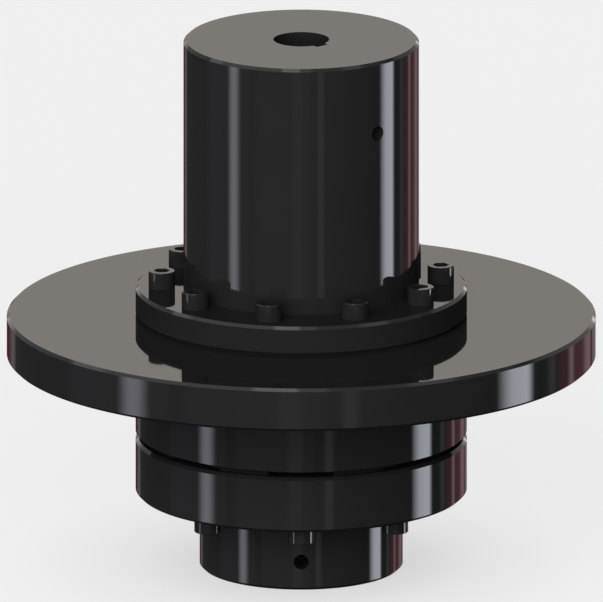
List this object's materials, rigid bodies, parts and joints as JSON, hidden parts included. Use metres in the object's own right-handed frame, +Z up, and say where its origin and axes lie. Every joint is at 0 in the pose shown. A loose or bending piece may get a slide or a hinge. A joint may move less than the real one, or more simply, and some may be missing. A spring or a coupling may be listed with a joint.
{
  "type": "brake disc coupling",
  "caption": "Elastic claw coupling for two keyed shafts, with a solid brake disc clamped between the upper hub's flange and the claw ring.",
  "frame": {"origin": "centre of the lower hub's end face, the lowest face of the coupling", "axes": "+Z up along the shaft axis, towards the upper hub; -Y is the front, where the lower key and the lower set screw are; the upper key and set screw are 40.5 degrees from it towards +X"},
  "size_m": [0.4, 0.4, 0.369],
  "materials": {
    "black_steel": "glossy black",
    "disc_steel": "glossy black, turned flat",
    "black_screws": "glossy black",
    "rubber": "moulded, matt black"
  },
  "bodies": {
    "lower_half": {"lower_hub": "black_steel", "lower_set_screw": "black_screws", "pocket_ring": "black_steel", "ring_screws": "black_screws"},
    "rubber_blocks": {"rubber_block_1": "rubber", "rubber_block_2": "rubber", "rubber_block_3": "rubber", "rubber_block_4": "rubber", "rubber_block_5": "rubber", "rubber_block_6": "rubber", "rubber_block_7": "rubber", "rubber_block_8": "rubber", "rubber_block_9": "rubber", "rubber_block_10": "rubber", "rubber_block_11": "rubber", "rubber_block_12": "rubber", "rubber_block_13": "rubber", "rubber_block_14": "rubber", "rubber_block_15": "rubber", "rubber_block_16": "rubber"},
    "upper_half": {"claw_ring": "black_steel", "brake_disc": "disc_steel", "upper_hub": "black_steel", "flange_screws": "black_screws", "upper_set_screw": "black_screws"}
  },
  "joints": [
    {"name": "torsional_play", "type": "hinge", "parent": "lower_half", "child": "rubber_blocks", "pos_m": [0, 0, 0.077], "axis": [0, 0, 1], "range_deg": [-0.9, 0.9]},
    {"name": "axial_float", "type": "slide", "parent": "rubber_blocks", "child": "upper_half", "axis": [0, 0, 1], "range_m": [0, 0.004]}
  ]
}
